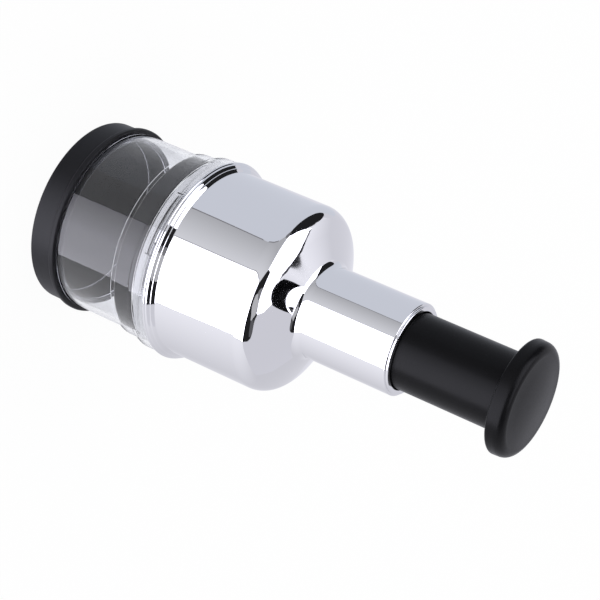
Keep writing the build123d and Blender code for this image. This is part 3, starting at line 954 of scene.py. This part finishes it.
# The bright white card in front, the paler one on the right and the bright one overhead.
white = [*DARK_FOOT[3:], *DARK_FRONT, *RIGHT_EDGE]
white += [*sky_arc(SIDE_TURN, WHITE_TURN, LOW), *WHITE_EDGE[::-1]]
sky_card("card_white", "acacb5", 5.4, white, 3.02, ("f3f3ff", -101.5, -62))
sky_card("card_white_edge", "b4b4b8", 1.0, sky_line(WHITE_EDGE[1:], 1.8), 2.92)
side = [*RIGHT_EDGE, *sky_arc(SIDE_TURN, SIDE_END, LOW)]
side += [(14, 84), (36, 50), (48, 30), (56, 8), (60, -6)]
sky_card("card_side", "f8f8ff", 1.24, side, 3.05, ("d2d2d9", -20, 50))
sky_card("card_side_edge", "f0f0f6", 1.0, sky_line(RIGHT_EDGE[1:], 1.6), 2.92)
overhead = [*DARK_LEFT[1:], *BAND_TOP, *WEDGE_INNER[::-1], *STREAK]
overhead += [(-2, 6.6), (6, 8), (13, 7), *DARK_TOP[1:], (-3, -11)]
sky_card("card_overhead", "f3f3ff", 3.8, overhead, 3.03)
sky_card("card_streak", "1e1e20", 1.0, STREAK + STREAK_BACK, 2.9)
glow = [(-45, 46), (-36, 28), (-22, 12), (-6, 5), (4, 10), (20, 30), (10, 66), (-30, 66)]
sky_card("card_glow", "d6d6de", 1.25, glow, 3.08, ("f7f7ff", 123, 140))

# The dark card over the front, with the sheens on it.
dark = DARK_LEFT + DARK_FOOT + DARK_FRONT + DARK_RIGHT + DARK_TOP
sky_card("card_dark", "28282a", 1.0, dark, 2.95)
sheen = [(12.5, -2), (17, 1), (22, -6), (27, -11), (28.5, -16), (26, -20), (24.5, -26)]
sheen += [(22, -33), (17, -36), (11, -36), (8.5, -31), (8, -24), (10, -18), (10, -10)]
sky_card("card_sheen", "cfcfd3", 1.0, sheen, 2.9)
half_sheen = [(2, -10.5), (9.5, -8), (9.8, -16), (8, -24), (8.4, -30), (4.5, -28), (2, -20)]
half_sheen += [(1.5, -12)]
sky_card("card_half_sheen", "8e8e92", 1.0, half_sheen, 2.88)
far_sheen = [(21, 6.5), (24.5, 9.5), (27, 9.8), (33, 4.5), (36.5, 0), (35, -5), (31, -10)]
far_sheen += [(28.5, -13), (22, -4)]
sky_card("card_far_sheen", "66666a", 1.0, far_sheen, 2.88)


# ---------------------------------------------------------------------------------------------
# Room: an even white light from everywhere, which mirrors show as a pale grey, and a white floor
# that keeps the soft shadow under the base cap.
# ---------------------------------------------------------------------------------------------
FLOOR_HALF = 6.0
FLOOR_WHITE = 0.95  # share of plain white in the floor that the camera sees; the rest is lit

world = bpy.data.worlds.new("white_room")
bpy.context.scene.world = world
world.use_nodes = True
sky = world.node_tree
sky.nodes.clear()
sky_ray = add_node(sky, "ShaderNodeLightPath")
sky_plain = add_node(sky, "ShaderNodeBackground", {"Color": linear("ffffff"), "Strength": 1.0})
sky_mirrored = add_node(sky, "ShaderNodeBackground", {"Color": linear("ececf5"), "Strength": 1.0})
sky_mix = add_node(
    sky,
    "ShaderNodeMixShader",
    (),
    {
        0: sky_ray.outputs["Is Glossy Ray"],
        1: sky_plain.outputs["Background"],
        2: sky_mirrored.outputs["Background"],
    },
)
add_node(sky, "ShaderNodeOutputWorld", (), {"Surface": sky_mix.outputs["Shader"]})

floor_mesh = bpy.data.meshes.new("floor")
floor_quarters = ((-1, -1), (1, -1), (1, 1), (-1, 1))
floor_corners = [(x * FLOOR_HALF, y * FLOOR_HALF, 0) for x, y in floor_quarters]
floor_mesh.from_pydata(floor_corners, [], [(0, 1, 2, 3)])
floor_material = bpy.data.materials.new("white_floor")
floor_material.use_nodes = True
floor_tree = floor_material.node_tree
floor_tree.nodes.clear()
floor_ray = add_node(floor_tree, "ShaderNodeLightPath")
floor_seen = add_node(
    floor_tree,
    "ShaderNodeMath",
    (),
    {0: floor_ray.outputs["Is Camera Ray"], 1: floor_ray.outputs["Is Transmission Ray"]},
    operation="MAXIMUM",
)
floor_share = add_node(
    floor_tree,
    "ShaderNodeMath",
    {1: FLOOR_WHITE},
    {0: floor_seen.outputs["Value"]},
    operation="MULTIPLY",
)
floor_paint = add_node(floor_tree, "ShaderNodeBsdfDiffuse", {"Color": linear("f4f4f5")})
floor_white = add_node(floor_tree, "ShaderNodeEmission", {"Color": linear("ffffff")})
floor_mix = add_node(
    floor_tree,
    "ShaderNodeMixShader",
    (),
    {
        0: floor_share.outputs["Value"],
        1: floor_paint.outputs["BSDF"],
        2: floor_white.outputs["Emission"],
    },
)
add_node(floor_tree, "ShaderNodeOutputMaterial", (), {"Surface": floor_mix.outputs["Shader"]})
floor_material.cycles.emission_sampling = "NONE"
floor_mesh.materials.append(floor_material)
floor = bpy.data.objects.new("floor", floor_mesh)
bpy.context.scene.collection.objects.link(floor)
floor.visible_glossy = False


# ---------------------------------------------------------------------------------------------
# Camera: it stands where the photograph's did, with a long lens, and is rolled, so that the
# upright chopper lies across the frame.
# ---------------------------------------------------------------------------------------------
CAMERA_EYE = Vector((0.0, -0.739589, 0.476818))
CAMERA_TARGET = Vector((-0.000655, 0.0, 0.110501))
CAMERA_ROLL = 113.565  # degrees
camera_data = bpy.data.cameras.new("camera")
camera_data.lens = 120.0
camera_data.sensor_width = 36.0
camera = bpy.data.objects.new("camera", camera_data)
bpy.context.scene.collection.objects.link(camera)
camera_turn = (CAMERA_EYE - CAMERA_TARGET).to_track_quat("Z", "Y").to_matrix()
camera_turn = camera_turn @ Matrix.Rotation(radians(CAMERA_ROLL), 3, "Z")
camera.matrix_world = Matrix.Translation(CAMERA_EYE) @ camera_turn.to_4x4()
bpy.context.scene.camera = camera
bpy.context.scene.view_settings.view_transform = "Standard"
